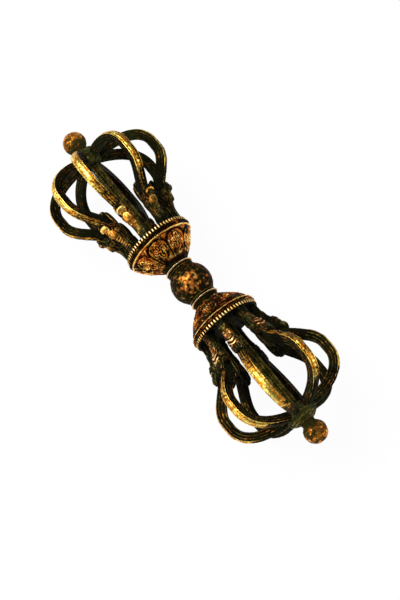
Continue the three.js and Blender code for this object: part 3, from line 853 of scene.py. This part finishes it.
# A ball finial ends each cage. It is cast on a short cone, rubbed to a reddish gold on its
# end and dark towards the neck, with the small dents of long use.
finial_low, finial_high = box_mm("ball_finial_b")
finial_radius = (finial_high[2] - finial_low[2]) / 2
finial_centre, finial_start = finial_high[0] - finial_radius, hub_high[0] - 0.1
finial_stem, finial_pole = 2.8, 0.02
finial_rows, finial_columns = 90, 130
finial_pit, finial_pit_size, speck_wear = 0.06, 1.2, 0.20
finial_dent, finial_dent_size = 0.05, 2.6
finial_shine, shine_begins, shine_full = 0.46, -0.5, 0.35
finial_mottle, finial_mottle_size = 0.22, 3.0
finial_rub = {"a": 0.08, "b": -0.03}
finial_finish = aged_brass("finial_brass", (0.96, 0.66, 0.17), (0.72, 0.25, 0.025),
                           (0.22, 0.070, 0.009), (0.030, 0.020, 0.005),
                           (0.030, 0.030, 0.006), olive=(0.14, 0.062, 0.009), broken=0.13)
for side, end in ends.items():
    points, out = ball(finial_centre, finial_radius - 0.02, finial_columns, finial_rows,
                       (finial_stem, finial_pole))
    neck = points[:1] * np.array([0, 1, 1]) + np.array([finial_start, 0, 0])
    pits, dents = ripple(points, finial_pit_size, 61), ripple(points, finial_dent_size, 62)
    wear = finial_rub[side] + finial_shine * smooth_step(out[..., 0], shine_begins, shine_full)
    wear += finial_mottle * ripple(points, finial_mottle_size, 63) + speck_wear * pits
    depth = finial_pit * (pits - 1) + finial_dent * (dents - 1)
    points = np.vstack([neck, points + out * depth[..., None]])
    wear = np.vstack([wear[:1] * 0.2, wear])
    lay(f"ball_finial_cast_{side}", [skin(lift_axis(mirrored(points, end)), wear)],
        finial_finish, f"ball_finial_{side}")


# A makara head holds the root of each curved prong in its jaws. It is cast: a ribbed neck,
# a round boss and a brow ridge, a curled snout over the prong and a scalloped lower jaw.
head_rows, head_columns = 136, 112
jaw_rows, jaw_columns = 64, 48
rib_pitch, cheek_pitch, jaw_pitch, scallop_pitch = 0.95, 1.25, 1.1, 2.35
cheek_dull, chased_wear = 0.08, 2.0
cheek_height, cheek_wear = 0.24, 2.8
back_dull, back_shine = 0.16, 0.16
rib_dull, rib_shine, rib_smoothed = 0.14, 0.28, 0.34
head_mottle, head_mottle_size = 0.12, 1.8
head_rub = {"a": -0.03, "b": -0.08}
head_polish_and_light = {"a": 0.28, "b": 0.3}
head_colours = {
    "a": ((1.0, 0.84, 0.24), (0.78, 0.28, 0.028), (0.150, 0.055, 0.009)),
    "b": ((1.0, 0.80, 0.40), (0.66, 0.26, 0.060), (0.130, 0.040, 0.009)),
}
head_finish = {side: aged_brass(f"makara_brass_{side}", *colours, (0.005, 0.0045, 0.002),
                                (0.009, 0.012, 0.004), olive=(0.12, 0.10, 0.022), gloss=0.03,
                                broken=0.09) for side, colours in head_colours.items()}

# Lines chased on the cheek, as knots of station and radius with a width and a height
cheek_lines = [
    (softened([(0, 12.35), (3.6, 12.5), (6.4, 13.1), (7.6, 14.1), (9.2, 14.5)]), 0.17, 0.20),
    (softened([(14.2, 16.5), (12.7, 15.6), (11.3, 14.9), (10.6, 13.4), (11.6, 12.3), (13.0, 12.6)]),
     0.20, 0.26),
    (curl((9.0, 12.9), 1.15, 0.25, 0.3 * np.pi, 1.6), 0.19, 0.28),
    (softened([(1.5, 11.5), (5.0, 11.9), (7.2, 11.3), (9.4, 11.1), (11.4, 11.3), (13.6, 11.5)]),
     0.16, 0.18),
    (softened([(1.5, 10.6), (4.6, 11.0), (7.0, 10.4), (9.2, 10.2), (12.0, 10.5), (15.0, 10.9)]),
     0.16, 0.18),
    (softened([(2.0, 9.7), (4.6, 10.0), (6.6, 9.6), (8.0, 9.5)]), 0.15, 0.15),
    (curl((11.9, 14.3), 0.5, 0.5, 0, 1), 0.13, 0.16),
]


def oval_loft(outer, inner, half, boxy, rows, columns, relief_at):
    """Loft of rounded-box sections along the head. Outer and inner edge are lines of station and
    radius, half is the half width, and boxy is the power below 1 that squares the sections.
    relief_at gives the relief and the wear from a section's own coordinates."""
    place = np.linspace(outer[0][0], outer[-1][0], rows)
    top, low, wide = (np.interp(place, *softened(line, 4).T)[:, None]
                      for line in (outer, inner, half))
    angle = turns_round(columns)
    side = np.sign(np.sin(angle)) * np.abs(np.sin(angle)) ** boxy
    height = np.sign(np.cos(angle)) * np.abs(np.cos(angle)) ** boxy
    middle, reach = (top + low) / 2, (top - low) / 2
    place = place[:, None] + 0 * angle
    raised, wear = relief_at(place, side, height, middle + height * reach, wide)
    away = np.stack([0 * place, side / wide, height / reach], axis=-1)
    away /= np.linalg.norm(away, axis=-1, keepdims=True)
    points = np.stack([place, side * wide, middle + height * reach], axis=-1)
    return points + away * raised[..., None], wear


def scalloped(place, height):
    """Scalloped lower edge: how low a point lies on its section, and the scallops' cut there."""
    below = smooth_step(-height, 0.7, 0.98)
    return below, (1 - np.abs(np.cos(place * np.pi / scallop_pitch)) ** 0.7) * below


def skull_relief(place, side, height, radius, wide, back_wear, rib_wear):
    """Chased cheeks, a back with raised edges and fine ribs, and a scalloped lower edge."""
    on_side = smooth_step(np.abs(side), 0.4, 0.75)
    on_back = smooth_step(height, 0.8, 0.97) * (1 - smooth_step(place, 11.0, 12.2))
    below, scallops = scalloped(place, height)
    chased = on_side * line_field(place, radius, cheek_lines)
    ribs = 0.5 + 0.5 * np.cos(place * 2 * np.pi / rib_pitch)
    edges = bump(np.abs(side * wide), 1.15, 0.16)
    flow = radius - 0.22 * place + 0.35 * np.sin(place * 2 * np.pi / 5.2)
    clear = 1 - np.clip(np.abs(chased) / 0.08, 0, 1)
    strands = cheek_height * (strands_at(flow, cheek_pitch) - 0.3) * on_side * clear
    back = on_back * (0.10 * edges + (0.04 + 0.3 * rib_wear) * ribs - 0.1)
    wear = cheek_dull + chased_wear * chased + cheek_wear * strands
    wear += 0.1 * below - 0.3 * bump(place, 0, 2.6)
    wear += on_back * (back_wear + 0.32 * edges + rib_wear * (ribs - 0.4))
    return chased + strands + back - 0.45 * scallops, wear


def jaw_relief(place, side, height, radius, wide):
    """Lower jaw: two strands along each side and a scalloped lower edge."""
    on_side = smooth_step(np.abs(side), 0.3, 0.7)
    below, scallops = scalloped(place, height)
    flow = radius - 9.9 - 0.12 * place
    strands = cheek_height * (strands_at(flow, jaw_pitch) - 0.3) * on_side
    return strands - 0.4 * scallops, 0.07 + cheek_wear * strands + 0.1 * below


def lump(centre, radii, lean, relief_at, boxy=1.0, rows=36, columns=40):
    """Cast boss: an ellipsoid with radii along station, side and height, squared off by a power
    below 1, leant in the prong's plane, with a relief from its own unit coordinates."""
    turn = np.linspace(0.03, np.pi - 0.03, rows)[:, None]
    angle = turns_round(columns)
    unit = np.stack([np.sin(turn) * np.cos(angle), np.cos(turn) + 0 * angle,
                     np.sin(turn) * np.sin(angle)], axis=-1)
    raised, wear = relief_at(*np.moveaxis(unit, -1, 0))
    unit = np.sign(unit) * np.abs(unit) ** boxy
    body = unit * (np.array(radii) + raised[..., None])
    cos, sin = math.cos(lean), math.sin(lean)
    along, across, up_from = np.moveaxis(body, -1, 0)
    return np.stack([centre[0] + along * cos - up_from * sin, centre[1] + across,
                     centre[2] + along * sin + up_from * cos], axis=-1), wear


def strap_face(along, across, rise, rub_and_light):
    """Snout strap over the prong: a pointed arch that runs back at its ends, with a groove
    behind it. It is worn the most of the whole head, where hands reach it, and on heads that face
    up to the lamps it is also painted lighter, a painted highlight."""
    bend = along + 0.95 * np.abs(across) ** 1.3
    top = smooth_step(rise, 0.2, 0.8)
    arch, groove = bump(bend, 0.42, 0.26), bump(bend, -0.12, 0.2)
    return ((0.22 * arch - 0.16 * groove) * top,
            0.14 + 2.5 * rub_and_light + (0.46 * arch - 0.2 * groove + 0.54) * top)


def brow_face(along, across, rise):
    """Forehead boss with a raised rim round a lower field, brightest on the front of its rim."""
    reach, top = np.hypot(along, across), rise > 0
    rim, hollow = bump(reach, 0.70, 0.12) * top, bump(reach, 0.46, 0.12) * top
    centre = bump(reach, 0, 0.25) * top
    front = 0.14 * along * smooth_step(rise, 0, 0.5)
    return (0.14 * rim - 0.08 * hollow,
            0.60 + 0.16 * rim * (1 + along) - 0.08 * hollow - 0.04 * centre + front)


def rosette_face(along, across, rise):
    """The same boss with six petals, less worn, because it lies low on the neck."""
    raised, wear = brow_face(along, across, rise)
    petals = np.cos(6 * np.arctan2(across, along)) * bump(np.hypot(along, across), 0.45, 0.3)
    return raised + 0.05 * petals, wear - 0.17 + 0.22 * petals


def arch_face(along, across, rise):
    """Brow of three stacked arches, which bend back at their ends."""
    arches = np.cos((along * 2.4 + 1.1 * np.abs(across) ** 1.4) * 2 * np.pi / 1.5)
    return 0.18 * arches * rise.clip(0, 1), 0.08 + 0.58 * arches + 0.5 * rise.clip(0, 1)


def mask_face(along, across, rise):
    """Low part of the face with fine lines along it, worn only to the brown film."""
    lines = np.cos(across * 2 * np.pi / 0.45)
    return 0.08 * lines, 0.14 + 0.2 * lines + 0.1 * rise.clip(0, 1)


def head_skins(side_name, rub_and_light, back_wear, rib_wear):
    """All closed skins of one head, as grids of station, side and radius with their wear."""
    skull = oval_loft(
        [(-0.35, 12.8), (3.5, 13.0), (5.6, 13.5), (7.4, 14.5), (9.4, 15.3), (11.0, 16.2),
         (12.4, 17.0), (13.7, 17.3), (14.3, 16.9)],
        [(-0.35, 8.0), (4, 9.1), (7.8, 9.6), (10.8, 9.9), (12.2, 10.4), (12.7, 13.8), (14.3, 15.9)],
        [(-0.35, 1.9), (3.5, 1.6), (6.2, 1.6), (8.6, 2.15), (11.5, 2.2), (13.2, 1.95), (14.3, 1.6)],
        0.62, head_rows, head_columns, lambda *at: skull_relief(*at, back_wear, rib_wear))
    jaw = oval_loft(
        [(8.0, 12.2), (12.0, 12.2), (14.6, 11.9), (16.2, 12.4), (18.0, 13.4), (18.8, 13.2)],
        [(8.0, 10.0), (12.0, 9.9), (15.2, 9.8), (17.0, 9.8), (18.2, 10.9), (18.8, 12.2)],
        [(8.0, 1.5), (12.0, 1.75), (15.6, 1.6), (17.8, 1.15), (18.8, 0.7)],
        0.75, jaw_rows, jaw_columns, jaw_relief)
    bosses = {
        "a": [((12.4, 0, 15.75), (1.3, 2.1, 1.5), 0.55, lambda *at: strap_face(*at, rub_and_light), 0.65),
              ((8.9, 0, 14.6), (1.95, 1.7, 1.0), 0.25, brow_face, 0.9)],
        "b": [((12.3, 0, 15.95), (1.8, 2.0, 1.1), 0.6, mask_face),
              ((9.4, 0, 14.85), (2.4, 1.85, 1.05), 0.36, arch_face, 0.85),
              ((5.0, 0, 13.05), (1.9, 1.55, 0.46), 0.15, rosette_face)],
    }
    eyes = [lump((11.9, place, 14.3), (0.34, 0.36, 0.34), 0, mask_face, rows=16, columns=20)
            for place in (-2.0, 2.0)]
    return [skull, jaw, *(lump(*boss) for boss in bosses[side_name]), *eyes]


for side, end in ends.items():
    for number, degrees in enumerate(prong_turns[side], 1):
        skins, turn = [], math.radians(degrees)
        reach = reach_and_light(turn)
        # Heads that face up to the lamps get lighter tops, backs and ribs: partly wear, partly
        # painted light.
        rub_and_light = max(head_polish_and_light[side] * (reach - top_reach), least_polish_and_light)
        upper = smooth_step(reach, 0.5, 0.88)
        topmost = smooth_step(reach, 0.91, 0.97)
        back_wear = back_dull + back_shine * upper
        rib_wear = rib_dull + rib_shine * upper - rib_smoothed * topmost
        for points, wear in head_skins(side, rub_and_light, back_wear, rib_wear):
            points = stand(points, end, turn)
            proud = smooth_step(wear, 0.25, 0.5)
            wear = wear + rub_and_light * proud + head_rub[side]
            wear += head_mottle * ripple(points, head_mottle_size, 71)
            skins.append(skin(points, wear))
        lay(f"makara_head_cast_{side}{number}", skins, head_finish[side],
            f"makara_head_{side}{number}")
